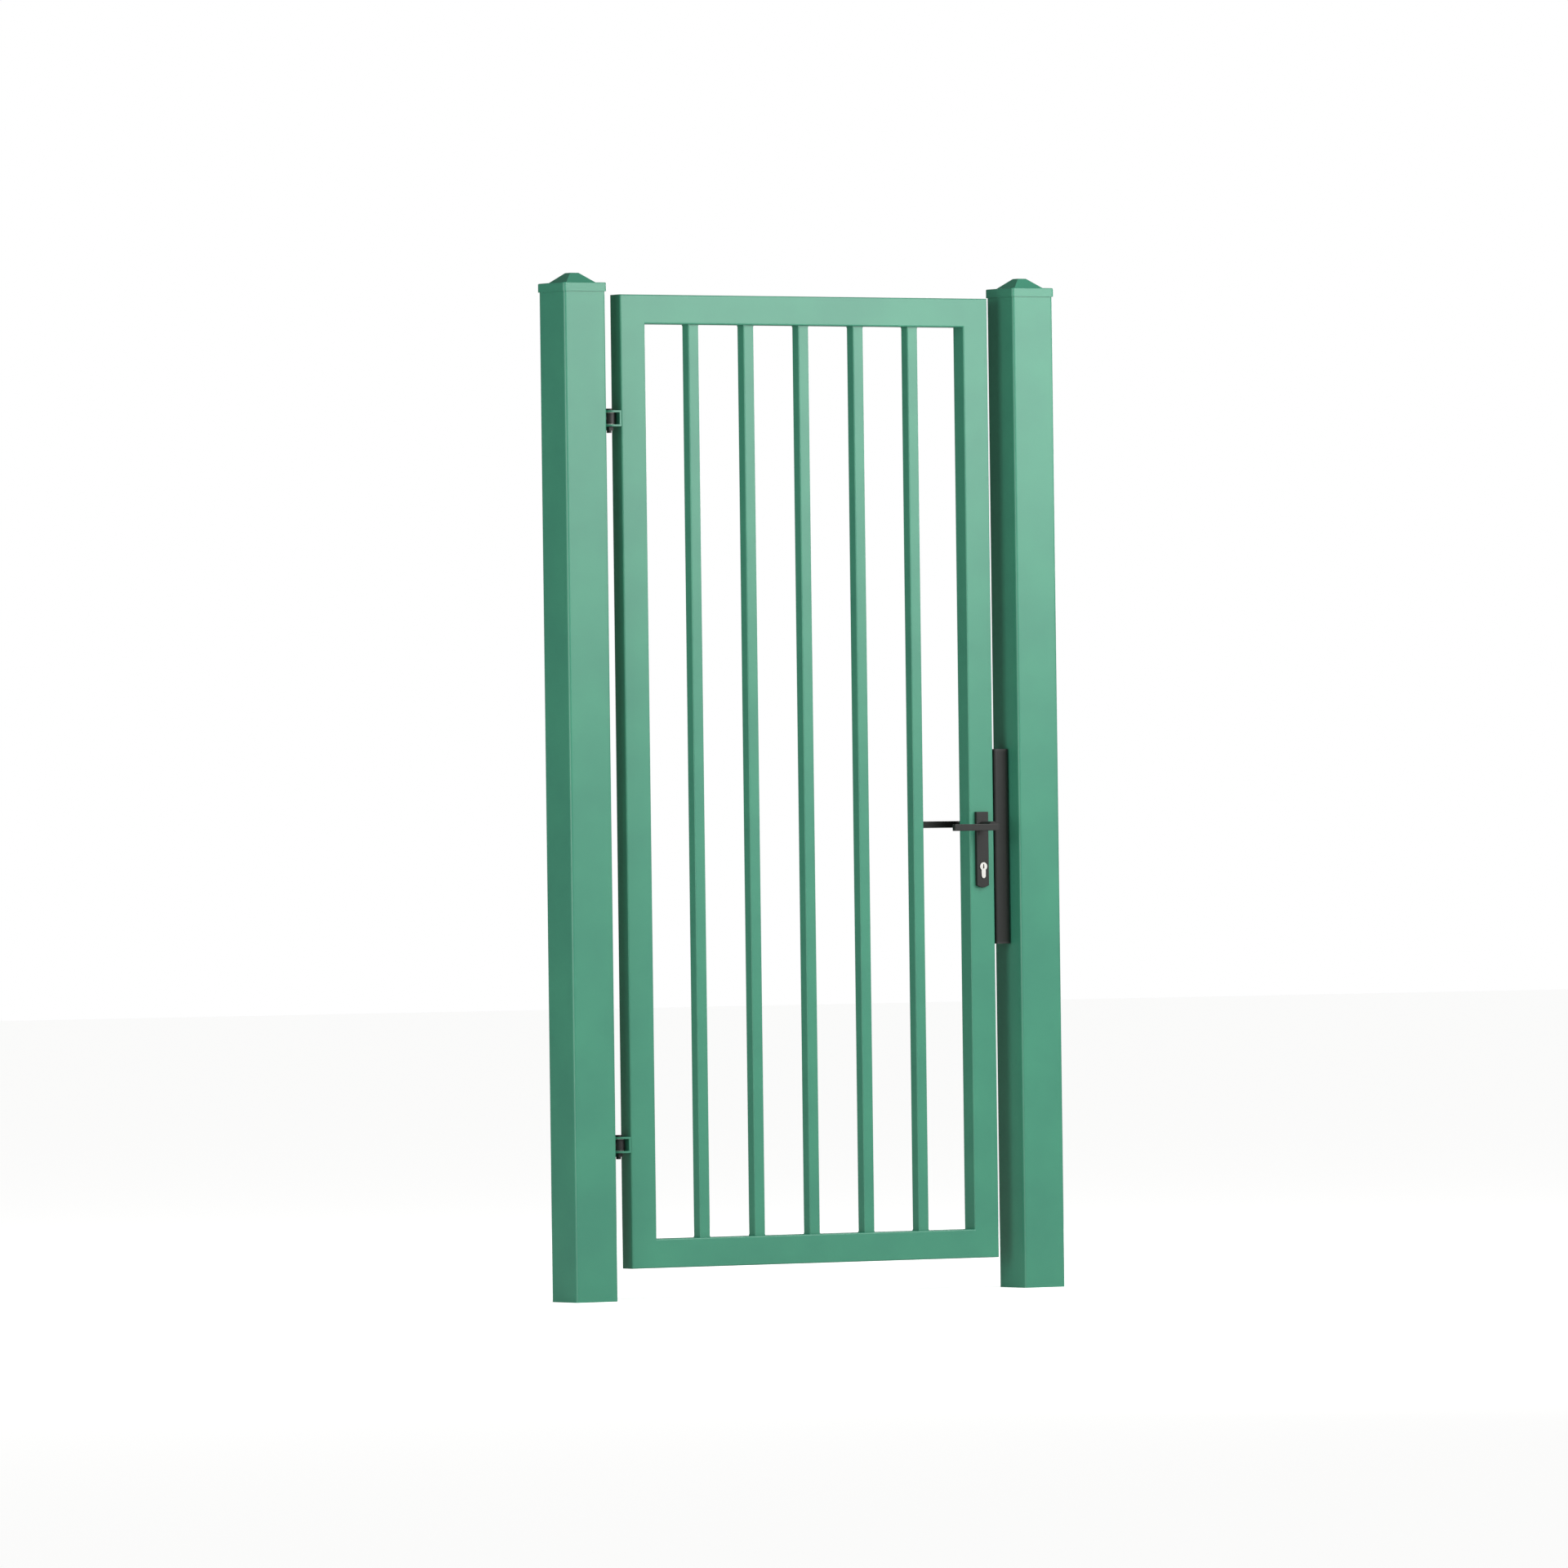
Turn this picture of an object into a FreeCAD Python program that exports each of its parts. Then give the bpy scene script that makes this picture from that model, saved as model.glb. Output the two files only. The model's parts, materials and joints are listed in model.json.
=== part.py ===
"""Garden gate: one steel leaf with five upright bars, hung between two square posts.

Millimetres. X runs across the gateway from the hinge post to the lock post, Y runs through it from the
front (-Y) to the back, and Z is up. The origin is on the ground, midway between the posts, on the plane
through their centres. The leaf opens towards the front.
"""

import math
import os

import FreeCAD
import Part

# Gateway and posts
opening = 1000.0  # clear width between the posts
post_width = 100.0
post_wall = 3.0
post_corner = 6.0
post_rise = 20.0  # post above the leaf

# Post caps, pressed over the posts
cap_wall = 2.2
cap_clearance = 0.3
cap_skirt = 15.5  # how far the cap reaches down the post
cap_top = 2.5  # thickness of the cap's flat top
cap_base = 72.0  # foot of the cap's pyramid
cap_tip = 20.0  # flat on top of the pyramid
cap_rise = 21.0
cap_corner = 6.5

# Leaf frame
hinge_gap = 53.0  # leaf to hinge post
lock_gap = 45.0  # leaf to lock post
leaf_height = 2003.0
leaf_ground_gap = 65.0
frame_width = 60.0
frame_depth = 40.0
frame_wall = 2.0
frame_corner = 3.0
bar_count = 5
bar_size = 25.0
bar_wall = 1.5
bar_corner = 2.5

# Hinges
hinge_inset = 255.0  # hinge centre from the leaf's end
pivot_gap = 18.0  # pivot to the leaf's side
bracket_plate = 4.0
bracket_width = 40.0
bracket_inside = 25.0  # between the bracket's ears
pin_diameter = 10.0
pin_head = 4.0
pin_tip = 5.0  # thread below the nut
pin_nut_height = 8.0
pin_nut_flats = 17.0
eye_diameter = 26.0
eye_height = 22.0
bush_diameter = 14.0
bush_flange = 22.0
bush_flange_thickness = 1.35
bush_split = 2.6  # between the two bushes of an eye
running_clearance = 0.05
stud_diameter = 16.0
stud_nut_flats = 24.0
stud_nut_height = 8.0
weld_nut_height = 14.0

# Lock
lever_height = 967.0  # above the ground
lock_backset = 33.0  # lever and cylinder axes to the leaf's edge
cylinder_drop = 85.0  # lever axis to cylinder axis
case_thickness = 17.0
case_wall = 1.5
case_gap = 4.0  # case to the stile's far wall
case_below_cylinder = 29.0
case_above_lever = 39.0
faceplate_thickness = 3.0
faceplate_width = 22.0
faceplate_overlap = 19.0  # beyond the case, top and bottom
faceplate_screw_reach = 12.0  # behind the faceplate
bolt_thickness = 12.0
bolt_clearance = 0.3
latch_rise = 25.0  # latch centre above the lever axis
latch_size = 22.0
latch_throw = 12.0
latch_back_gap = 14.0  # lever axis to the back of the latch's head
latch_bevel_gap = 1.0  # bevel starts this far beyond the faceplate
latch_tail = 8.0
deadbolt_drop = 42.0  # dead bolt centre below the lever axis
deadbolt_size = 30.0
deadbolt_back_gap = 7.0  # lever axis to the back of the dead bolt
deadbolt_throw = 20.0
spindle_size = 8.0
spindle_clearance = 0.75  # beyond the spindle's corners
follower_diameter = 20.0
follower_arm = 17.0
follower_arm_width = 4.0
lug_thickness = 3.0
lug_clearance = 0.5  # follower's arm to the latch's lug
lug_rise = 1.5  # lug above the follower's hub
spring_diameter = 7.0
spring_wire = 0.8
spring_turns = 10

# Handle set
plate_width = 29.0
plate_thickness = 8.0
plate_above_lever = 29.0
plate_below_lever = 129.0
plate_bulge = 5.0  # curve of the plate's lower end
plate_edge = 1.0
neck_diameter = 18.0
journal_diameter = 17.0
lever_length = 110.0
lever_thickness = 11.0
lever_face = 58.0  # leaf's face to the lever's outer face
lever_breadth = 14.0
lever_edge = 1.2
lever_offset = 3.5  # bar's centre above the spindle at the back, below it at the front
spindle_cover = 4.0  # end of the spindle to the lever's bar
screw_diameter = 5.0
screw_head = 9.0
set_screw_sink = 0.5  # set screw inside the lever's neck
upper_screw_drop = 42.0  # below the lever axis
lower_screw_drop = 119.0

# Profile cylinder
cylinder_round = 17.0
cylinder_leg = 10.0
cylinder_height = 33.0
cylinder_proud = 2.0  # beyond the handle plates
cylinder_wall = 1.0  # beyond the tip of the cylinder's screw
plug_diameter = 13.0
cam_width = 9.8
cam_reach = 15.0
cam_clearance = 0.5
cam_nose = 6.0
keyway_width = 2.6
keyway_height = 9.0
keyway_depth = 22.0

# Keep on the lock post
keep_width = 40.0
keep_front = 16.0  # keep's front face, before the posts' centre plane
keep_wall = 3.0
keep_round = 12.0  # front corner beside the post
keep_small_round = 6.0
keep_length = 399.0
keep_cap = 4.0
keep_below_lever = 243.0
keep_lip = 18.0  # stop behind the leaf
keep_lip_thickness = 5.0
stop_gap = 0.3
stop_thickness = 3.7
stop_inset = 1.0  # strip inside the leaf's edge
keep_screw_inset = 40.0
keep_screw_diameter = 8.0
keep_screw_head = 13.0
keep_screw_offset = 6.5  # screws behind the posts' centre plane
keep_screw_socket = 6.0
keep_screw_tip = 4.0  # thread beyond the rivet nut
rivet_nut_length = 12.0
window_clearance = 1.0

# Places worked out from the sizes above
post_half = post_width / 2
hinge_face = -opening / 2
lock_face = opening / 2
leaf_left = hinge_face + hinge_gap
leaf_right = lock_face - lock_gap
leaf_bottom = leaf_ground_gap
leaf_top = leaf_bottom + leaf_height
leaf_half = frame_depth / 2
pivot_x = leaf_left - pivot_gap
hinge_heights = {"lower": leaf_bottom + hinge_inset, "upper": leaf_top - hinge_inset}
post_height = leaf_top + post_rise
lock_x = leaf_right - lock_backset
cylinder_z = lever_height - cylinder_drop
cylinder_half = leaf_half + plate_thickness + cylinder_proud
spindle_hole = spindle_size / math.sqrt(2) + spindle_clearance
case_left = leaf_right - frame_width + frame_wall + case_gap
case_bottom = cylinder_z - case_below_cylinder
case_top = lever_height + case_above_lever
case_half = case_thickness / 2
inner_half = case_half - case_wall
faceplate_outer = leaf_right + faceplate_thickness
latch_z = lever_height + latch_rise
latch_back = lock_x + latch_back_gap
deadbolt_z = lever_height - deadbolt_drop
keep_left = lock_face - keep_width
keep_bottom = lever_height - keep_below_lever
keep_back = leaf_half + stop_gap + stop_thickness + keep_lip_thickness

parts = {}


def vector(x, y, z):
    return FreeCAD.Vector(x, y, z)


def block(x0, x1, y0, y1, z0, z1):
    return Part.makeBox(x1 - x0, y1 - y0, z1 - z0, vector(x0, y0, z0))


def rod(radius, start, end):
    """Round bar from one point to another."""
    a = vector(*start)
    b = vector(*end)
    return Part.makeCylinder(radius, (b - a).Length, a, b - a)


def hexagon(flats, start, end):
    """Hexagon bar between two points on its axis."""
    a = vector(*start)
    along = vector(*end) - a
    turn = FreeCAD.Rotation(vector(0, 0, 1), along)
    radius = flats / math.sqrt(3)
    corners = [math.radians(60 * n) for n in range(7)]
    points = [a + turn.multVec(vector(radius * math.cos(c), radius * math.sin(c), 0)) for c in corners]
    return Part.Face(Part.makePolygon(points)).extrude(along)


def nut(flats, bore, start, end):
    return hexagon(flats, start, end).cut(rod(bore / 2, start, end))


def round_edges(shape, radius, direction, chosen=None):
    """Fillets the straight edges that run along a direction."""
    edges = []
    for edge in shape.Edges:
        if not isinstance(edge.Curve, Part.Line):
            continue
        run = edge.Vertexes[-1].Point - edge.Vertexes[0].Point
        if run.cross(direction).Length < 1e-6 and (chosen is None or chosen(edge.CenterOfMass)):
            edges.append(edge)
    return shape.makeFillet(radius, edges)


def tube(x0, x1, y0, y1, z0, z1, wall, corner, direction):
    """Rectangular tube open at both ends, with rounded corners."""
    axis = vector(*direction)
    outer = round_edges(block(x0, x1, y0, y1, z0, z1), corner, axis)
    wx, wy, wz = (0 if d else wall for d in direction)
    core = block(x0 + wx, x1 - wx, y0 + wy, y1 - wy, z0 + wz, z1 - wz)
    return outer.cut(round_edges(core, corner - wall, axis) if corner > wall else core)


def prism_xz(points, y0, y1):
    """Flat shape in X and Z, extruded along Y."""
    loop = [vector(x, y0, z) for x, z in points]
    return Part.Face(Part.makePolygon(loop + loop[:1])).extrude(vector(0, y1 - y0, 0))


def euro_profile(y0, y1, grow=0.0):
    """Round head over a straight leg with a round foot, the section of a profile cylinder."""
    head = rod(cylinder_round / 2 + grow, (lock_x, y0, cylinder_z), (lock_x, y1, cylinder_z))
    half = cylinder_leg / 2 + grow
    foot_z = cylinder_z - cylinder_height + cylinder_round / 2 + cylinder_leg / 2
    leg = block(lock_x - half, lock_x + half, y0, y1, foot_z, cylinder_z)
    foot = rod(half, (lock_x, y0, foot_z), (lock_x, y1, foot_z))
    return head.fuse([leg, foot]).removeSplitter()


def add_posts():
    for side, face, outward in (("hinge", hinge_face, -1), ("lock", lock_face, 1)):
        centre = face + outward * post_half
        post = tube(
            centre - post_half, centre + post_half, -post_half, post_half, 0, post_height,
            post_wall, post_corner, (0, 0, 1),
        )
        inner_face = face + outward * post_wall
        if side == "hinge":
            for z in hinge_heights.values():
                post = post.cut(rod(stud_diameter / 2, (face + 1, 0, z), (inner_face - 1, 0, z)))
        else:
            for z in keep_screw_heights():
                y = keep_screw_offset
                post = post.cut(rod(keep_screw_diameter / 2, (face - 1, y, z), (inner_face + 1, y, z)))
        parts[side + "_post"] = post
        parts[side + "_post_cap"] = post_cap(centre)


def post_cap(centre):
    """Skirted square cap with a low pyramid that ends in a flat."""
    half = post_half + cap_clearance + cap_wall
    top = post_height + cap_top
    shell = block(centre - half, centre + half, -half, half, post_height - cap_skirt, top)
    shell = round_edges(shell, cap_corner, vector(0, 0, 1))
    rim = [e for e in shell.Edges if abs(e.CenterOfMass.z - top) < 1e-6]
    shell = shell.makeFillet(cap_wall, rim)
    slip = post_half + cap_clearance
    hollow = block(centre - slip, centre + slip, -slip, slip, post_height - cap_skirt, post_height)
    shell = shell.cut(round_edges(hollow, post_corner, vector(0, 0, 1)))
    foot, tip = cap_base / 2, cap_tip / 2
    wires = [square_wire(centre, foot, top - cap_top / 2), square_wire(centre, foot, top)]
    pyramid = Part.makeLoft(wires, True, True)
    slope = Part.makeLoft(
        [square_wire(centre, foot, top), square_wire(centre, tip, top + cap_rise)], True, True
    )
    return shell.fuse([pyramid, slope]).removeSplitter()


def square_wire(centre, half, z):
    corners = [(-half, -half), (half, -half), (half, half), (-half, half), (-half, -half)]
    return Part.makePolygon([vector(centre + x, y, z) for x, y in corners])


def add_frame():
    """Four tubes with mitred ends."""
    left, right, bottom, top = leaf_left, leaf_right, leaf_bottom, leaf_top
    w, d = frame_width, leaf_half
    outer = [(left, bottom), (right, bottom), (right, top), (left, top)]
    inner = [(left + w, bottom + w), (right - w, bottom + w), (right - w, top - w), (left + w, top - w)]
    sides = {
        "bottom_rail": (0, 1, (left, right, bottom, bottom + w), (1, 0, 0)),
        "lock_stile": (1, 2, (right - w, right, bottom, top), (0, 0, 1)),
        "top_rail": (2, 3, (left, right, top - w, top), (1, 0, 0)),
        "hinge_stile": (3, 0, (left, left + w, bottom, top), (0, 0, 1)),
    }
    for name, (a, b, (x0, x1, z0, z1), direction) in sides.items():
        whole = tube(x0, x1, -d, d, z0, z1, frame_wall, frame_corner, direction)
        parts[name] = whole.common(prism_xz([outer[a], outer[b], inner[b], inner[a]], -d - 1, d + 1))
    parts["lock_stile"] = parts["lock_stile"].cut(lock_pocket())


def add_bars():
    clear = leaf_right - leaf_left - 2 * frame_width
    gap = (clear - bar_count * bar_size) / (bar_count + 1)
    for n in range(bar_count):
        x = leaf_left + frame_width + gap + n * (bar_size + gap)
        parts["upright_bar_%d" % (n + 1)] = tube(
            x, x + bar_size, -bar_size / 2, bar_size / 2,
            leaf_bottom + frame_width, leaf_top - frame_width, bar_wall, bar_corner, (0, 0, 1),
        )


def add_hinges():
    for name, z in hinge_heights.items():
        parts[name + "_hinge_bracket"] = hinge_bracket(z)
        parts[name + "_hinge_pin"] = hinge_pin(z)
        low = z - bracket_inside / 2 - bracket_plate
        parts[name + "_hinge_nut"] = nut(
            pin_nut_flats, pin_diameter, (pivot_x, 0, low), (pivot_x, 0, low - pin_nut_height)
        )
        parts[name + "_hinge_eye"] = hinge_eye(z)
        parts[name + "_hinge_bushes"] = hinge_bushes(z)
    parts["stud_lock_nuts"] = stud_nuts(hinge_face, stud_nut_height)
    parts["stud_weld_nuts"] = stud_nuts(hinge_face - post_wall, -weld_nut_height)


def stud_nuts(x, height):
    """Nut on each hinge's stud, from one X towards the leaf or away from it."""
    nuts = []
    for z in hinge_heights.values():
        nuts.append(nut(stud_nut_flats, stud_diameter, (x, 0, z), (x + height, 0, z)))
    return Part.makeCompound(nuts)


def hinge_bracket(z):
    """U of flat bar welded to the leaf's side, with two rounded ears around the pivot."""
    half = bracket_width / 2
    inside = bracket_inside / 2
    height = inside + bracket_plate
    ears = block(pivot_x, leaf_left, -half, half, z - height, z + height)
    ears = ears.fuse(rod(half, (pivot_x, 0, z - height), (pivot_x, 0, z + height)))
    gap = block(pivot_x - half, leaf_left - bracket_plate, -half, half, z - inside, z + inside)
    hole = rod(pin_diameter / 2, (pivot_x, 0, z - height), (pivot_x, 0, z + height))
    beyond = block(leaf_left, leaf_left + half, -half, half, z - height, z + height)
    return ears.cut([gap, hole, beyond]).removeSplitter()


def hinge_pin(z):
    top = z + bracket_inside / 2 + bracket_plate
    bottom = z - bracket_inside / 2 - bracket_plate - pin_nut_height - pin_tip
    head = rod(pin_nut_flats / 2, (pivot_x, 0, top), (pivot_x, 0, top + pin_head))
    crown = [e for e in head.Edges if abs(e.CenterOfMass.z - top - pin_head) < 1e-6 and e.Closed]
    head = head.makeFillet(pin_head / 2, crown)
    shank = rod(pin_diameter / 2, (pivot_x, 0, bottom), (pivot_x, 0, top))
    return head.fuse(shank).removeSplitter()


def hinge_eye(z):
    """Eye on a threaded stud that screws through the post's wall."""
    half = eye_height / 2
    eye = rod(eye_diameter / 2, (pivot_x, 0, z - half), (pivot_x, 0, z + half))
    stud_end = hinge_face - post_wall - weld_nut_height
    eye = eye.fuse(rod(stud_diameter / 2, (pivot_x, 0, z), (stud_end, 0, z)))
    return eye.cut(rod(bush_diameter / 2, (pivot_x, 0, z - half), (pivot_x, 0, z + half))).removeSplitter()


def hinge_bushes(z):
    """Flanged bush at each end of the eye."""
    bushes = []
    bore = pin_diameter / 2 + running_clearance
    for up in (-1, 1):
        face = z + up * eye_height / 2
        rim = face + up * bush_flange_thickness
        body = rod(bush_diameter / 2, (pivot_x, 0, z + up * bush_split / 2), (pivot_x, 0, face))
        body = body.fuse(rod(bush_flange / 2, (pivot_x, 0, face), (pivot_x, 0, rim)))
        bushes.append(body.cut(rod(bore, (pivot_x, 0, z), (pivot_x, 0, rim))).removeSplitter())
    return Part.makeCompound(bushes)


def screw_heights():
    return (lever_height - upper_screw_drop, lever_height - lower_screw_drop)


def lock_pocket():
    """Everything that is cut from the lock stile for the lock, its cylinder and its screws."""
    d = leaf_half + 1
    grow = bolt_clearance
    cut = block(
        leaf_right - frame_wall - 1, leaf_right + 1, -case_half - grow, case_half + grow,
        case_bottom - grow, case_top + grow,
    )
    spindle = rod(spindle_hole, (lock_x, -d, lever_height), (lock_x, d, lever_height))
    screws = [rod(screw_diameter / 2, (lock_x, -d, z), (lock_x, d, z)) for z in screw_heights()]
    face = [
        rod(screw_diameter / 2, (leaf_right - frame_wall - 1, 0, z), (leaf_right + 1, 0, z))
        for z in faceplate_screw_heights()
    ]
    return cut.fuse([spindle, euro_profile(-d, d, grow)] + screws + face)


def faceplate_screw_heights():
    inset = faceplate_overlap / 2
    return (case_bottom - inset, case_top + inset)


def add_lock():
    parts["lock_case"] = lock_case()
    parts["lock_faceplate"] = lock_faceplate()
    parts["faceplate_screws"] = Part.makeCompound([faceplate_screw(z) for z in faceplate_screw_heights()])
    parts["latch_bolt"] = latch_bolt()
    parts["dead_bolt"] = dead_bolt()
    parts["lock_follower"] = lock_follower()
    parts["latch_spring"] = latch_spring()


def faceplate_screw(z):
    return countersunk((faceplate_outer, 0, z), (leaf_right - faceplate_screw_reach, 0, z))


def countersunk(outer, tip):
    """Countersunk screw from the centre of its head to its tip."""
    a, b = vector(*outer), vector(*tip)
    along = (b - a).normalize()
    depth = (screw_head - screw_diameter) / 2
    head = Part.makeCone(screw_head / 2, screw_diameter / 2, depth, a, along)
    return head.fuse(Part.makeCylinder(screw_diameter / 2, (b - a).Length, a, along)).removeSplitter()


def lock_case():
    """Box that is open at the faceplate."""
    case = block(case_left, leaf_right, -case_half, case_half, case_bottom, case_top)
    w = case_wall
    case = case.cut(block(case_left + w, leaf_right, -inner_half, inner_half, case_bottom + w, case_top - w))
    d = case_half + 1
    case = case.cut(rod(spindle_hole, (lock_x, -d, lever_height), (lock_x, d, lever_height)))
    case = case.cut(euro_profile(-d, d, bolt_clearance))
    upper = screw_heights()[0]
    return case.cut(rod(screw_diameter / 2, (lock_x, -d, upper), (lock_x, d, upper)))


def lock_faceplate():
    half = faceplate_width / 2
    low, high = case_bottom - faceplate_overlap, case_top + faceplate_overlap
    plate = block(leaf_right, faceplate_outer, -half, half, low, high)
    plate = round_edges(plate, half / 3, vector(1, 0, 0))
    b = bolt_thickness / 2 + bolt_clearance
    for z, size in ((latch_z, latch_size), (deadbolt_z, deadbolt_size)):
        s = size / 2 + bolt_clearance
        plate = plate.cut(block(leaf_right - 1, faceplate_outer + 1, -b, b, z - s, z + s))
    for z in faceplate_screw_heights():
        plate = plate.cut(faceplate_screw(z))
    return plate.cut(cylinder_screw())


def latch_bolt():
    """Bevelled head, with a tail over the follower and a lug that the follower's arm pushes back."""
    half = bolt_thickness / 2
    tip = faceplate_outer + latch_throw
    bevel_foot = faceplate_outer + latch_bevel_gap
    z0, z1 = latch_z - latch_size / 2, latch_z + latch_size / 2
    head = block(latch_back, tip, -half, half, z0, z1)
    bevel = Part.makePolygon(
        [vector(*p) for p in (
            (bevel_foot, half, z0), (tip, -half / 3, z0), (tip, half, z0), (bevel_foot, half, z0),
        )]
    )
    head = head.cut(Part.Face(bevel).extrude(vector(0, 0, latch_size)))
    tail_left = lock_x - follower_arm_width / 2 - lug_clearance - lug_thickness
    tail_low = lever_height + follower_arm + follower_arm_width
    tail = block(tail_left, latch_back, -half / 2, half / 2, tail_low, tail_low + latch_tail)
    lug_low = lever_height + follower_diameter / 2 + lug_rise
    lug = block(tail_left, tail_left + lug_thickness, -half / 2, half / 2, lug_low, tail_low)
    return head.fuse([tail, lug]).removeSplitter()


def dead_bolt():
    """Square bolt, drawn back, with a leg that the cylinder's cam turns against."""
    half = bolt_thickness / 2
    tip = faceplate_outer - bolt_clearance
    back = lock_x + deadbolt_back_gap
    low = deadbolt_z - deadbolt_size / 2
    bolt = block(back, tip, -half, half, low, deadbolt_z + deadbolt_size / 2)
    leg_low = cylinder_z + cam_reach + 2 * cam_clearance
    leg = block(back, leaf_right - deadbolt_throw - lug_clearance, -half / 2, half / 2, leg_low, low)
    return bolt.fuse(leg).removeSplitter()


def lock_follower():
    """Hub on the square spindle, with the arm that draws the latch."""
    y = inner_half - bolt_clearance
    hub = rod(follower_diameter / 2, (lock_x, -y, lever_height), (lock_x, y, lever_height))
    half = follower_arm_width / 2
    arm = block(
        lock_x - half, lock_x + half, -bolt_thickness / 2 + 1, bolt_thickness / 2 - 1,
        lever_height, lever_height + follower_arm,
    )
    s = spindle_size / 2
    hole = block(lock_x - s, lock_x + s, -y, y, lever_height - s, lever_height + s)
    return hub.fuse(arm).cut(hole).removeSplitter()


def latch_spring():
    """Coil spring between the case's back wall and the latch's head."""
    left = case_left + case_wall + spring_wire
    right = latch_back - spring_wire
    radius = (spring_diameter - spring_wire) / 2
    helix = Part.makeHelix((right - left) / spring_turns, right - left, radius)
    profile = Part.Wire(Part.makeCircle(spring_wire / 2, vector(radius, 0, 0), vector(0, 1, 0)))
    coil = Part.Wire(helix).makePipeShell([profile], True, True)
    coil.rotate(vector(0, 0, 0), vector(0, 1, 0), 90)
    coil.translate(vector(left, 0, case_top - case_wall - spring_diameter / 2 - bolt_clearance))
    return coil


def add_handle_set():
    for name, side in (("front", -1), ("rear", 1)):
        parts[name + "_handle_plate"] = handle_plate(side)
        parts[name + "_lever"] = lever(side)
    parts["square_spindle"] = square_bar()
    outer, tip = leaf_half + plate_thickness, -leaf_half - plate_thickness / 2
    parts["plate_screws"] = Part.makeCompound(
        [countersunk((lock_x, outer, z), (lock_x, tip, z)) for z in screw_heights()]
    )
    parts["lever_set_screws"] = Part.makeCompound([set_screw(side) for side in (-1, 1)])


def square_bar():
    """Spindle, and the hole it fills in both levers."""
    s = spindle_size / 2
    reach = leaf_half + lever_face - lever_thickness - spindle_cover
    return block(lock_x - s, lock_x + s, -reach, reach, lever_height - s, lever_height + s)


def set_screw(side):
    """Grub screw from under the lever's neck to the spindle."""
    y = side * (leaf_half + lever_face / 2)
    low = lever_height - neck_diameter / 2 + set_screw_sink
    return rod(screw_diameter / 2, (lock_x, y, low), (lock_x, y, lever_height - spindle_size / 2))


def handle_plate(side):
    """Long plate with a curved lower end."""
    face = side * leaf_half
    outer = side * (leaf_half + plate_thickness)
    y0, y1 = min(face, outer), max(face, outer)
    half = plate_width / 2
    top = lever_height + plate_above_lever
    bottom = lever_height - plate_below_lever
    shoulder = bottom + plate_bulge
    left, right = lock_x - half, lock_x + half
    a, b, c = vector(left, y0, shoulder), vector(lock_x, y0, bottom), vector(right, y0, shoulder)
    d, e = vector(right, y0, top), vector(left, y0, top)
    edges = [Part.Arc(a, b, c).toShape(), Part.makeLine(c, d), Part.makeLine(d, e), Part.makeLine(e, a)]
    plate = Part.Face(Part.Wire(edges)).extrude(vector(0, plate_thickness, 0))
    front = [edge for edge in plate.Edges if abs(edge.CenterOfMass.y - outer) < 1e-6]
    plate = plate.makeFillet(plate_edge, front)
    journal = journal_diameter / 2 + running_clearance
    plate = plate.cut(rod(journal, (lock_x, y0, lever_height), (lock_x, y1, lever_height)))
    plate = plate.cut(euro_profile(y0 - 1, y1 + 1, bolt_clearance))
    for z in screw_heights():
        if side > 0:
            plate = plate.cut(countersunk((lock_x, y1, z), (lock_x, y0, z)))
        else:
            screw_end = y1 - plate_thickness / 2
            plate = plate.cut(rod(screw_diameter / 2, (lock_x, y1, z), (lock_x, screw_end, z)))
    return plate


def lever(side):
    """Straight flat bar on a round neck. Both levers are alike, so the back one is the other way up."""
    outer = side * (leaf_half + lever_face)
    inner = outer - side * lever_thickness
    y0, y1 = min(outer, inner), max(outer, inner)
    right = lock_x + neck_diameter / 2
    half = lever_breadth / 2
    middle = lever_height + side * lever_offset
    bar = block(right - lever_length, right, y0, y1, middle - half, middle + half)
    bar = bar.makeFillet(lever_edge, bar.Edges)
    plate_face = side * (leaf_half + plate_thickness + bolt_clearance)
    overlap = inner + side * lever_edge
    neck = rod(neck_diameter / 2, (lock_x, plate_face, lever_height), (lock_x, overlap, lever_height))
    journal_end = side * (leaf_half + bolt_clearance)
    journal = rod(journal_diameter / 2, (lock_x, journal_end, lever_height), (lock_x, overlap, lever_height))
    return bar.fuse([neck, journal]).cut([square_bar(), set_screw(side)]).removeSplitter()


def add_cylinder():
    half = cylinder_half
    body = euro_profile(-half, half)
    bore = plug_diameter / 2 + running_clearance
    z = cylinder_z
    body = body.cut(rod(bore, (lock_x, -half, z), (lock_x, half, z)))
    slot = cam_width / 2 + running_clearance
    low = z - cam_reach - cam_clearance
    left, right = lock_x - cylinder_round, lock_x + cylinder_round
    body = body.cut(block(left, right, -slot, slot, low, z + cylinder_round))
    body = body.cut(cylinder_screw())
    parts["profile_cylinder"] = body
    parts["cylinder_screw"] = cylinder_screw()
    for name, side in (("front", -1), ("rear", 1)):
        plug = rod(plug_diameter / 2, (lock_x, side * cam_width / 2, z), (lock_x, side * half, z))
        k = keyway_width / 2
        y0, y1 = sorted((side * half, side * (half - keyway_depth)))
        slot = block(lock_x - k, lock_x + k, y0, y1, z - keyway_height / 2, z + keyway_height / 2)
        parts[name + "_key_plug"] = plug.cut(slot)
    c = cam_width / 2
    cam = rod(plug_diameter / 2, (lock_x, -c, z), (lock_x, c, z))
    nose = block(lock_x - cam_nose / 2, lock_x + cam_nose / 2, -c, c, z - cam_reach + cam_nose / 2, z)
    tip_z = z - cam_reach + cam_nose / 2
    tip = rod(cam_nose / 2, (lock_x, -c, tip_z), (lock_x, c, tip_z))
    parts["cylinder_cam"] = cam.fuse([nose, tip]).removeSplitter()


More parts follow.
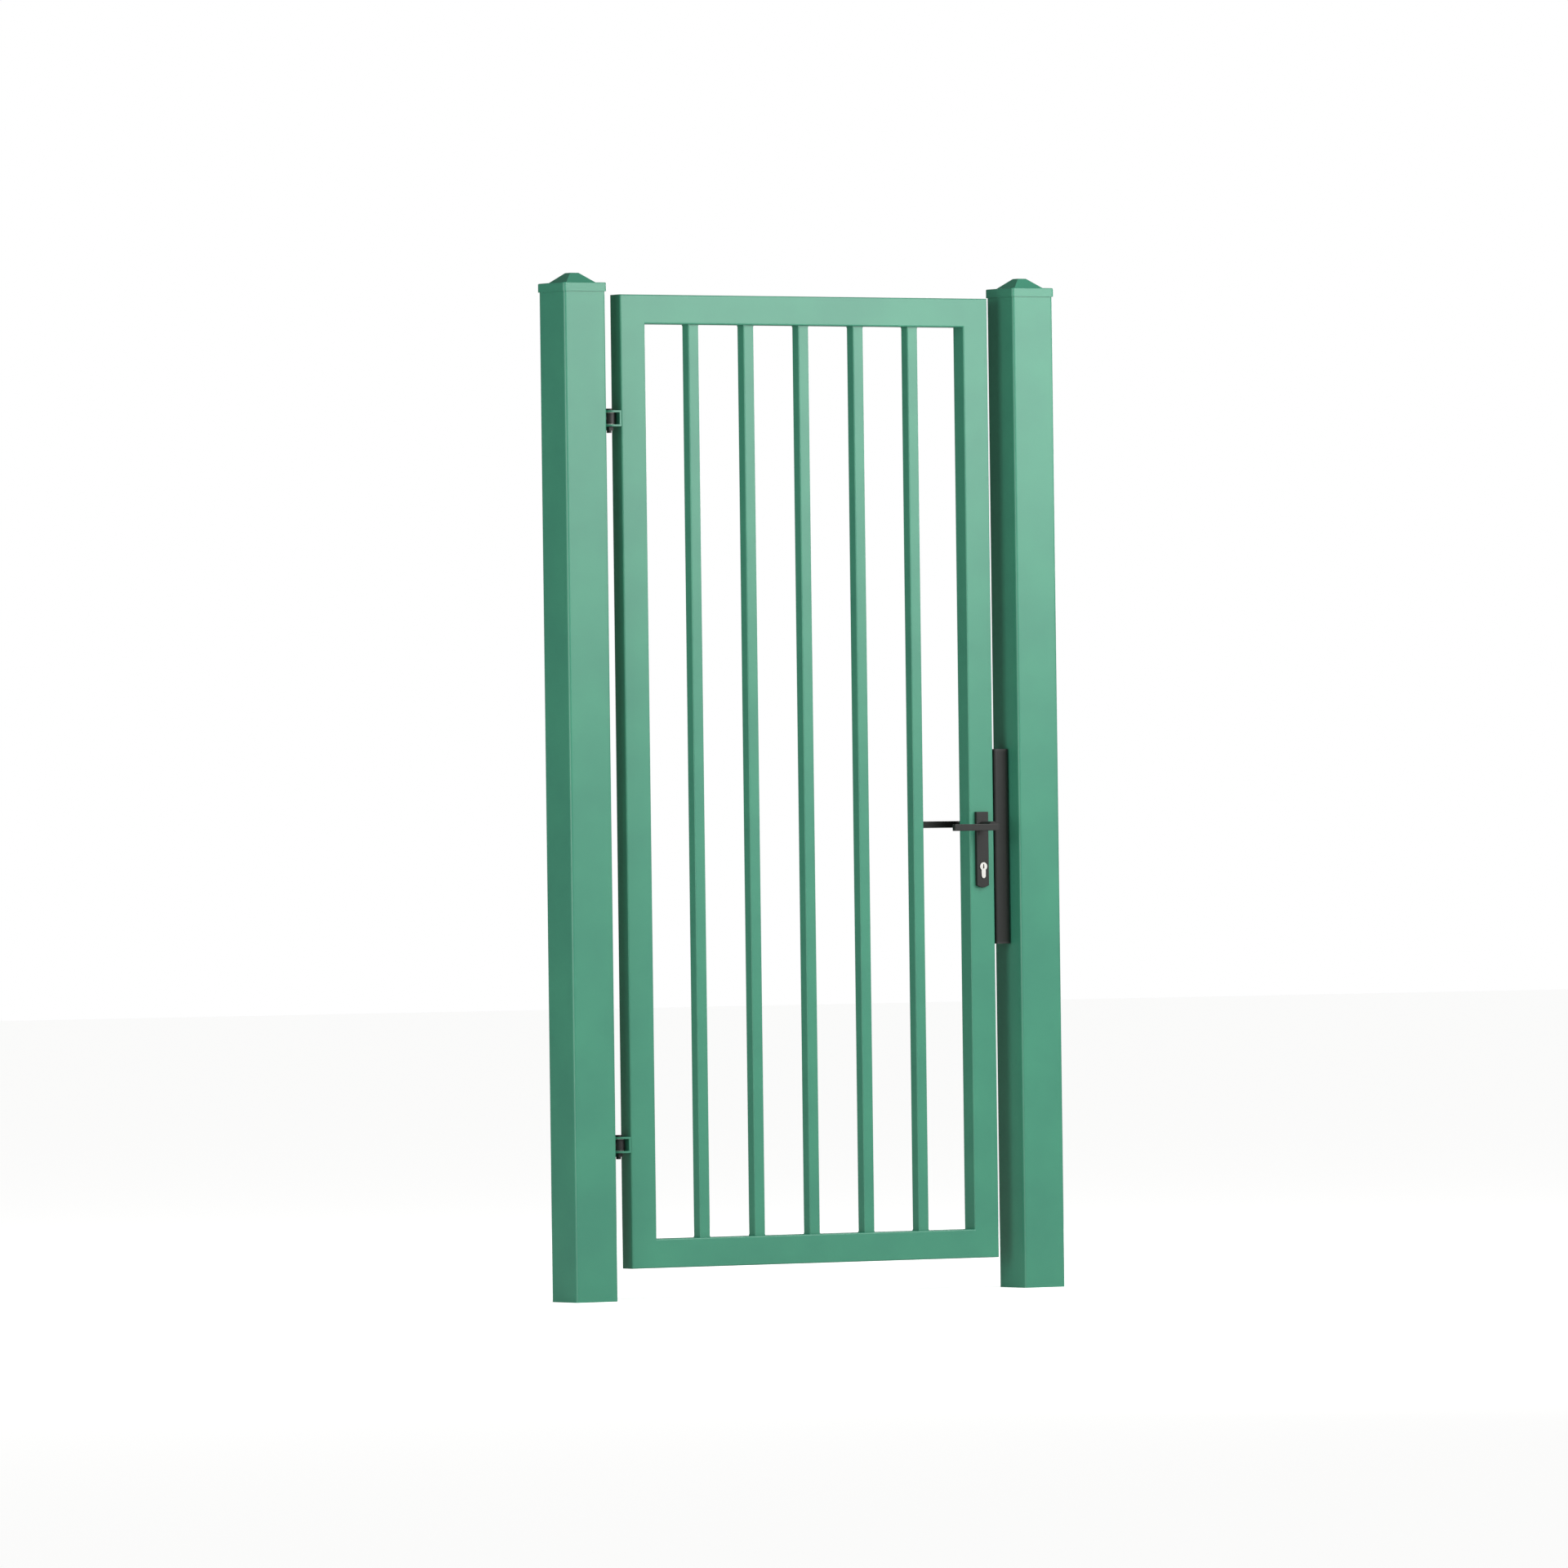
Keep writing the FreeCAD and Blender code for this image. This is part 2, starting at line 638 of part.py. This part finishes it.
def cylinder_screw():
    """Long screw through the faceplate that holds the cylinder by its foot."""
    z = cylinder_z - cylinder_height + cylinder_round / 2 + cylinder_leg / 2
    return countersunk((faceplate_outer, 0, z), (lock_x - cylinder_leg / 2 + cylinder_wall, 0, z))


def keep_screw_heights():
    return (keep_bottom + keep_screw_inset, keep_bottom + keep_length - keep_screw_inset)


def keep_section(z0, z1, inset=0.0):
    """The keep's outline, rounded at its two front corners."""
    x0, x1 = keep_left + inset, lock_face - inset
    y0, y1 = -keep_front + inset, keep_back - inset
    section = block(x0, x1, y0, y1, z0, z1)
    up = vector(0, 0, 1)
    by_post = keep_round - inset
    by_leaf = keep_small_round - inset
    middle = (x0 + x1) / 2
    section = round_edges(section, by_post, up, lambda c: c.x > middle and c.y < 0)
    return round_edges(section, by_leaf, up, lambda c: c.x < middle and c.y < y0 + 1)


def add_keep():
    z0, z1 = keep_bottom, keep_bottom + keep_length
    body = keep_section(z0, z1)
    lip_front = keep_back - keep_lip_thickness
    lip_left = keep_left - keep_lip
    body = body.fuse(block(lip_left, keep_left + 1, lip_front, keep_back, z0, z1)).removeSplitter()
    body = body.cut(keep_section(z0, z1, keep_wall))
    b = bolt_thickness / 2 + window_clearance
    for z, size in ((latch_z, latch_size), (deadbolt_z, deadbolt_size)):
        s = size / 2 + window_clearance
        body = body.cut(block(keep_left - 1, keep_left + keep_wall + 1, -b, b, z - s, z + s))
    y = keep_screw_offset
    access = keep_screw_head / 2 + window_clearance
    screw_hole = keep_screw_diameter / 2
    for z in keep_screw_heights():
        body = body.cut(rod(access, (keep_left - 1, y, z), (keep_left + keep_wall + 1, y, z)))
        body = body.cut(rod(screw_hole, (lock_face - keep_wall - 1, y, z), (lock_face + 1, y, z)))
    parts["keep_profile"] = body
    add_keep_screws()
    parts["keep_bottom_cap"] = keep_section(z0 - keep_cap, z0)
    parts["keep_top_cap"] = keep_section(z1, z1 + keep_cap)
    strip_front = leaf_half + stop_gap
    parts["stop_strip"] = block(lip_left, leaf_right - stop_inset, strip_front, lip_front, z0, z1)


def add_keep_screws():
    """Socket-head screws through the keep's back wall, with rivet nuts inside the post."""
    screws, nuts = [], []
    y = keep_screw_offset
    seat = lock_face - keep_wall
    top = seat - keep_screw_diameter
    post_inside = lock_face + post_wall
    nut_end = post_inside + rivet_nut_length
    for z in keep_screw_heights():
        shank = rod(keep_screw_diameter / 2, (seat, y, z), (nut_end + keep_screw_tip, y, z))
        head = rod(keep_screw_head / 2, (top, y, z), (seat, y, z))
        socket = hexagon(keep_screw_socket, (top, y, z), (top + keep_screw_diameter / 2, y, z))
        screws.append(head.fuse(shank).cut(socket).removeSplitter())
        nuts.append(nut(keep_screw_head, keep_screw_diameter, (post_inside, y, z), (nut_end, y, z)))
    parts["keep_screws"] = Part.makeCompound(screws)
    parts["keep_nuts"] = Part.makeCompound(nuts)


def main():
    add_posts()
    add_frame()
    add_bars()
    add_hinges()
    add_lock()
    add_handle_set()
    add_cylinder()
    add_keep()
    os.makedirs("parts", exist_ok=True)
    for name, shape in parts.items():
        bad = [s for s in shape.Solids if not s.isValid() or s.Volume <= 0]
        print(name, len(shape.Solids), "solids", round(shape.Volume), "mm3", "INVALID" if bad else "")
        shape.exportStep(os.path.join("parts", name + ".step"))


main()
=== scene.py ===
import json
import math

import bpy
from mathutils import Matrix, Vector, noise


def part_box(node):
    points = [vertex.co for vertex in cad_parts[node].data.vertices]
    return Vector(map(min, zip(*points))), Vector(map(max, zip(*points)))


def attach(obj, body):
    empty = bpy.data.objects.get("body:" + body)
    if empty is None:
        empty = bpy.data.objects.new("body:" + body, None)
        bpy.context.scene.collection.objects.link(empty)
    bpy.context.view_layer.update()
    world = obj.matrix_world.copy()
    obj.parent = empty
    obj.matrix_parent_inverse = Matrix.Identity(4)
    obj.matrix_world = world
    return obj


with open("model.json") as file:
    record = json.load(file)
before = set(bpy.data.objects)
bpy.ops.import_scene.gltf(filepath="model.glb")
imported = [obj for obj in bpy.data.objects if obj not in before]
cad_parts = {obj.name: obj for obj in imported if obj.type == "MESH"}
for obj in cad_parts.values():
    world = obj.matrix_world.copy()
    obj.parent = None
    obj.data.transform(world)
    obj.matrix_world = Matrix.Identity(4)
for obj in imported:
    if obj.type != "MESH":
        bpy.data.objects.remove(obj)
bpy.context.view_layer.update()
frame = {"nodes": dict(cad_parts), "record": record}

nodeSlots = {entry["node"]: entry["material_slot"] for entry in frame["record"]["subparts"]}
millimetre = 0.001


def toLinear(hexText):
    # sRGB hex to the linear colour that the shader wants
    channels = [int(hexText[i:i + 2], 16) / 255 for i in (1, 3, 5)]
    linear = [c / 12.92 if c <= 0.04045 else ((c + 0.055) / 1.055) ** 2.4 for c in channels]
    return (*linear, 1.0)


def addNode(tree, kind, settings=None, inputs=None, links=None):
    # settings are the node's own values, inputs its socket values, links its socket sources
    node = tree.nodes.new(kind)
    for name, value in (settings or {}).items():
        setattr(node, name, value)
    for name, value in (inputs or {}).items():
        node.inputs[name].default_value = value
    for name, source in (links or {}).items():
        tree.links.new(source, node.inputs[name])
    return node


def startMaterial(name, surface):
    # an empty material with its shader, ready for a pattern
    material = bpy.data.materials.new(name)
    material.use_nodes = True
    tree = material.node_tree
    tree.nodes.clear()
    shader = addNode(tree, "ShaderNodeBsdfPrincipled", inputs=surface)
    addNode(tree, "ShaderNodeOutputMaterial", links={"Surface": shader.outputs["BSDF"]})
    place = addNode(tree, "ShaderNodeTexCoord").outputs["Object"]
    return material, tree, shader, place


def perMetre(size):
    # a texture's scale for a pattern of this size in mm
    return 1 / (size * millimetre)


def addNoise(tree, size, detail, place):
    # noise with bumps of this size in mm
    inputs = {"Scale": perMetre(size), "Detail": detail}
    return addNode(tree, "ShaderNodeTexNoise", inputs=inputs, links={"Vector": place})


def addShades(tree, pattern, shades, shadeRange):
    # two shades that follow a pattern, with a soft step between them over the range
    ramp = addNode(tree, "ShaderNodeValToRGB", links={"Fac": pattern.outputs["Fac"]})
    for element, colour, position in zip(ramp.color_ramp.elements, shades, shadeRange):
        element.position = position
        element.color = toLinear(colour)
    return ramp


powderCoat = {
    "colour": "#377E66",
    "worn": "#3C866B",
    "shadeRange": (0.35, 0.75),  # where the drift turns from one shade to the other
    "roughness": 0.36,
    "ior": 1.5,
    "cloudSize": 140.0,  # slow drift in shade across a tube
    "cloudDetail": 3.0,
    "peelSize": 5.0,  # orange peel is about 1.5 mm, drawn coarser so that it shows
    "peelDetail": 1.0,
    "peelDepth": 0.035,
    "grainSize": 0.9,  # fine texture of the powder
    "grainDetail": 2.0,
    "grainDepth": 0.02,
}


def makePowderCoat():
    # Powder-coated steel: sprayed as polyester powder and baked, which leaves a satin skin with a faint
    # orange peel and softened corners. The eye sees one even colour that catches the light in small waves.
    surface = {"Roughness": powderCoat["roughness"], "IOR": powderCoat["ior"]}
    material, tree, shader, place = startMaterial("powderCoatedSteelGreen", surface)
    cloud = addNoise(tree, powderCoat["cloudSize"], powderCoat["cloudDetail"], place)
    shades = (powderCoat["colour"], powderCoat["worn"])
    shade = addShades(tree, cloud, shades, powderCoat["shadeRange"])
    tree.links.new(shade.outputs["Color"], shader.inputs["Base Color"])
    peel = addNoise(tree, powderCoat["peelSize"], powderCoat["peelDetail"], place)
    grain = addNoise(tree, powderCoat["grainSize"], powderCoat["grainDetail"], place)
    wave = addNode(
        tree, "ShaderNodeBump",
        inputs={"Strength": powderCoat["peelDepth"], "Distance": millimetre},
        links={"Height": peel.outputs["Fac"]},
    )
    bump = addNode(
        tree, "ShaderNodeBump",
        inputs={"Strength": powderCoat["grainDepth"], "Distance": millimetre},
        links={"Height": grain.outputs["Fac"], "Normal": wave.outputs["Normal"]},
    )
    tree.links.new(bump.outputs["Normal"], shader.inputs["Normal"])
    return material


anodised = {
    "colour": "#232321",
    "deep": "#191A19",
    "shadeRange": (0.0, 1.0),
    "roughness": 0.42,
    "metallic": 0.25,
    "lineSize": 0.6,
    "lineLength": 30.0,
    "lineDetail": 2.0,
    "depth": 0.05,
}


def makeAnodised():
    # Black anodised aluminium: extruded, brushed along its length and dyed black in the bath. It stays a
    # matt grey-black with fine lines that run up the piece.
    surface = {"Roughness": anodised["roughness"], "Metallic": anodised["metallic"]}
    material, tree, shader, place = startMaterial("anodisedAluminiumBlack", surface)
    across, along = perMetre(anodised["lineSize"]), perMetre(anodised["lineLength"])
    stretch = addNode(
        tree, "ShaderNodeMapping", inputs={"Scale": (across, across, along)}, links={"Vector": place}
    )
    lines = addNode(
        tree, "ShaderNodeTexNoise", inputs={"Scale": 1.0, "Detail": anodised["lineDetail"]},
        links={"Vector": stretch.outputs["Vector"]},
    )
    shades = (anodised["deep"], anodised["colour"])
    shade = addShades(tree, lines, shades, anodised["shadeRange"])
    tree.links.new(shade.outputs["Color"], shader.inputs["Base Color"])
    bump = addNode(
        tree, "ShaderNodeBump", inputs={"Strength": anodised["depth"], "Distance": millimetre},
        links={"Height": lines.outputs["Fac"]},
    )
    tree.links.new(bump.outputs["Normal"], shader.inputs["Normal"])
    return material


grained = {
    "detail": 3.0,
    "shadeRange": (0.3, 0.7),
    "dullest": 1.15,  # share of the roughness on the grain's high spots
    "glossiest": 0.85,
}


def makeGrained(look):
    # One even colour with a fine random grain, for small moulded, turned, rolled, plated and dipped pieces.
    # look gives the two shades, the grain's size in mm and how deep it is.
    surface = {"Metallic": look["metallic"]}
    material, tree, shader, place = startMaterial(look["name"], surface)
    grain = addNoise(tree, look["grainSize"], grained["detail"], place)
    shade = addShades(tree, grain, (look["dark"], look["light"]), grained["shadeRange"])
    tree.links.new(shade.outputs["Color"], shader.inputs["Base Color"])
    glossy, dull = (look["roughness"] * grained[end] for end in ("glossiest", "dullest"))
    gloss = addNode(
        tree, "ShaderNodeMapRange", inputs={"To Min": glossy, "To Max": dull},
        links={"Value": grain.outputs["Fac"]},
    )
    tree.links.new(gloss.outputs["Result"], shader.inputs["Roughness"])
    bump = addNode(
        tree, "ShaderNodeBump", inputs={"Strength": look["depth"], "Distance": millimetre},
        links={"Height": grain.outputs["Fac"]},
    )
    tree.links.new(bump.outputs["Normal"], shader.inputs["Normal"])
    return material


grainedFinishes = {
    # moulded polyamide end caps: matt, with the mould's spark-eroded grain
    "black_polyamide": {
        "name": "mouldedPolyamideBlack", "dark": "#1F1F1F", "light": "#292928",
        "roughness": 0.55, "metallic": 0.0, "grainSize": 0.8, "depth": 0.06,
    },
    # extruded EPDM strip: dull and almost smooth
    "black_rubber": {
        "name": "extrudedRubberBlack", "dark": "#161616", "light": "#1F1F1E",
        "roughness": 0.75, "metallic": 0.0, "grainSize": 1.5, "depth": 0.04,
    },
    # turned polyamide bushes: off-white and waxy
    "white_polyamide": {
        "name": "turnedPolyamideWhite", "dark": "#DEDCD2", "light": "#E8E6DE",
        "roughness": 0.4, "metallic": 0.0, "grainSize": 2.0, "depth": 0.02,
    },
    # forged steel dipped in black zinc flake: satin, with small shade changes
    "black_coated_steel": {
        "name": "zincFlakeCoatedSteelBlack", "dark": "#101110", "light": "#191A19",
        "roughness": 0.5, "metallic": 0.0, "grainSize": 2.5, "depth": 0.06,
    },
    # nickel-plated brass: turned, then plated to a soft white shine
    "nickel_plated_brass": {
        "name": "nickelPlatedBrass", "dark": "#D9D8D2", "light": "#EAE9E4",
        "roughness": 0.34, "metallic": 1.0, "grainSize": 1.2, "depth": 0.01,
    },
    # rolled stainless steel, brushed too finely for its lines to be drawn
    "stainless_steel": {
        "name": "brushedStainlessSteel", "dark": "#A9A9A5", "light": "#BDBDB9",
        "roughness": 0.3, "metallic": 1.0, "grainSize": 1.0, "depth": 0.02,
    },
    # bright zinc plate on small steel pieces: bluish, with spangles of a millimetre or two
    "zinc_plated_steel": {
        "name": "zincPlatedSteel", "dark": "#9EA3A8", "light": "#B9BDC1",
        "roughness": 0.34, "metallic": 1.0, "grainSize": 1.8, "depth": 0.02,
    },
}


def paintNodes():
    finishes = {slot: makeGrained(look) for slot, look in grainedFinishes.items()}
    finishes["green_powder_coat"] = makePowderCoat()
    finishes["black_anodised_aluminium"] = makeAnodised()
    for name, piece in frame["nodes"].items():
        piece.data.materials.clear()
        piece.data.materials.append(finishes[nodeSlots[name]])
    print("finishes:", len(finishes))
    return finishes


weldBead = {
    "leg": 2.5,  # a small fillet weld, ground lightly before coating
    "ripple": 0.25,
    "rippleSize": 4.0,
    "plainEdge": 0.02,  # share of the leg at each face that stays straight
    "pickWithin": 0.25,  # share of the leg within which a corner or face counts as the far one
    "cuts": 7,
    "smoothAngle": 40.0,
}


def makeWeldBead(name, centre, halfWidth, baseZ, direction, finish):
    # a low frustum round the bar's end: a cube with its far face drawn in to the bar, then rippled
    leg = weldBead["leg"] * millimetre
    bpy.ops.mesh.primitive_cube_add(size=1, location=(centre.x, centre.y, baseZ + direction * leg / 2))
    bead = bpy.context.object
    bead.name = name
    bead.scale = (2 * (halfWidth + leg), 2 * (halfWidth + leg), leg)
    bpy.ops.object.transform_apply(location=True, rotation=True, scale=True)
    farZ = baseZ + direction * leg
    reach = weldBead["pickWithin"] * leg
    for vertex in bead.data.vertices:
        vertex.select = abs(vertex.co.z - farZ) < reach
    for polygon in bead.data.polygons:
        polygon.select = abs(polygon.center.z - farZ) < reach
    bpy.ops.object.mode_set(mode="EDIT")
    shrink = halfWidth / (halfWidth + leg)
    bpy.ops.transform.resize(value=(shrink, shrink, 1), center_override=(centre.x, centre.y, farZ))
    bpy.ops.mesh.select_all(action="SELECT")
    bpy.ops.mesh.subdivide(number_cuts=weldBead["cuts"])
    bpy.ops.mesh.normals_make_consistent(inside=False)
    bpy.ops.object.mode_set(mode="OBJECT")
    for vertex in bead.data.vertices:
        wave = noise.noise(vertex.co / (weldBead["rippleSize"] * millimetre))
        outward = (vertex.co - Vector((centre.x, centre.y, vertex.co.z))).normalized()
        if weldBead["plainEdge"] < abs(vertex.co.z - baseZ) / leg < 1 - weldBead["plainEdge"]:
            vertex.co += outward * wave * weldBead["ripple"] * millimetre
    bpy.ops.object.shade_smooth_by_angle(angle=math.radians(weldBead["smoothAngle"]))
    bead.data.materials.append(finish)
    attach(bead, "leaf")


def weldBars(finish):
    bars = sorted(name for name in frame["nodes"] if name.startswith("upright_bar"))
    for number, name in enumerate(bars, 1):
        low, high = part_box(name)
        centre = (Vector(low) + Vector(high)) / 2
        halfWidth = (high[0] - low[0]) / 2
        makeWeldBead("weld_bead_low_%d" % number, centre, halfWidth, low[2], 1, finish)
        makeWeldBead("weld_bead_high_%d" % number, centre, halfWidth, high[2], -1, finish)
    print("weld beads:", 2 * len(bars))


studio = {
    "floorColour": "#E6E6E4",
    "floorSize": 90.0,
    "floorRoughness": 0.9,
    "floorGlow": 0.7,  # lifts the floor to white where it is seen directly
    "wallInFront": 0.62,  # brightness of the studio's walls round the object
    "wallBehind": 0.1,
    "frontEnd": -1.0,  # Y of the direction where the walls' fade from front to back starts
    "backEnd": 0.8,  # and where it ends
    "glowColour": (1.0, 1.0, 1.0, 1.0),  # of the floor and the walls
}

softBoxes = {
    # name: (place, aimed at, size in metres, watts)
    "keySoftBox": ((1.75, -2.8, 2.9), (0.0, 0.0, 1.7), (3.0, 3.0), 145.0),
    "fillSoftBox": ((-4.5, -2.2, 1.6), (0.0, 0.0, 1.2), (2.0, 3.0), 120.0),
    "backSoftBox": ((3.5, 3.0, 2.5), (0.0, 0.0, 1.2), (2.0, 2.0), 60.0),
}


def makeFloor():
    bpy.ops.mesh.primitive_plane_add(size=studio["floorSize"], location=(0, 0, 0))
    floor = bpy.context.object
    floor.name = "studioFloor"
    surface = {
        "Roughness": studio["floorRoughness"],
        "Specular IOR Level": 0.0,
        "Base Color": toLinear(studio["floorColour"]),
        "Emission Color": studio["glowColour"],
    }
    material, tree, shader, _ = startMaterial("mattStudioPaint", surface)
    rays = addNode(tree, "ShaderNodeLightPath")
    glow = addNode(
        tree, "ShaderNodeMath", {"operation": "MULTIPLY"}, {1: studio["floorGlow"]},
        {0: rays.outputs["Is Camera Ray"]},
    )
    tree.links.new(glow.outputs["Value"], shader.inputs["Emission Strength"])
    floor.data.materials.append(material)


def makeLights():
    world = bpy.data.worlds.new("softStudio")
    bpy.context.scene.world = world
    world.use_nodes = True
    tree = world.node_tree
    way = addNode(tree, "ShaderNodeTexCoord").outputs["Generated"]
    split = addNode(tree, "ShaderNodeSeparateXYZ", links={"Vector": way})
    fade = {
        "From Min": studio["frontEnd"],
        "From Max": studio["backEnd"],
        "To Min": studio["wallInFront"],
        "To Max": studio["wallBehind"],
    }
    wall = addNode(
        tree, "ShaderNodeMapRange", {"interpolation_type": "SMOOTHSTEP"}, fade, {"Value": split.outputs["Y"]}
    )
    rays = addNode(tree, "ShaderNodeLightPath")
    seen = addNode(
        tree, "ShaderNodeMath", {"operation": "MAXIMUM"},
        links={0: rays.outputs["Is Camera Ray"], 1: wall.outputs["Result"]},
    )
    background = tree.nodes["Background"]
    tree.links.new(seen.outputs["Value"], background.inputs["Strength"])
    background.inputs["Color"].default_value = studio["glowColour"]
    for name, (place, target, size, power) in softBoxes.items():
        data = bpy.data.lights.new(name, "AREA")
        data.shape = "RECTANGLE"
        data.size, data.size_y = size
        data.energy = power
        lamp = bpy.data.objects.new(name, data)
        bpy.context.collection.objects.link(lamp)
        lamp.visible_camera = False
        lamp.location = place
        lamp.rotation_mode = "QUATERNION"
        lamp.rotation_quaternion = (Vector(target) - Vector(place)).to_track_quat("-Z", "Y")
    bpy.context.scene.view_settings.view_transform = "Standard"
    print("studio: floor,", len(softBoxes), "soft boxes")


cameraSetup = {
    "place": (-15.38785, -24.13738, 0.92248),  # a long lens, far back
    "azimuth": 32.4331,
    "tilt": 0.2721,
    "roll": -0.7488,
    "lens": 316.986,
    "sensor": 36.0,
    "farthest": 200.0,
}


def makeCamera():
    azimuth = math.radians(cameraSetup["azimuth"])
    tilt = math.radians(cameraSetup["tilt"])
    roll = math.radians(cameraSetup["roll"])
    ahead = Vector((math.sin(azimuth) * math.cos(tilt), math.cos(azimuth) * math.cos(tilt), math.sin(tilt)))
    level = Vector((math.cos(azimuth), -math.sin(azimuth), 0))
    above = level.cross(ahead)
    right = math.cos(roll) * level + math.sin(roll) * above
    up = math.cos(roll) * above - math.sin(roll) * level
    data = bpy.data.cameras.new("studioCamera")
    data.lens = cameraSetup["lens"]
    data.sensor_width = cameraSetup["sensor"]
    data.clip_end = cameraSetup["farthest"]
    camera = bpy.data.objects.new("studioCamera", data)
    bpy.context.collection.objects.link(camera)
    turn = Matrix((right, up, -ahead)).transposed().to_4x4()
    camera.matrix_world = Matrix.Translation(cameraSetup["place"]) @ turn
    bpy.context.scene.camera = camera
    print("camera: lens", cameraSetup["lens"])


bpy.ops.object.select_all(action="DESELECT")
finishes = paintNodes()
weldBars(finishes["green_powder_coat"])
makeFloor()
makeLights()
makeCamera()
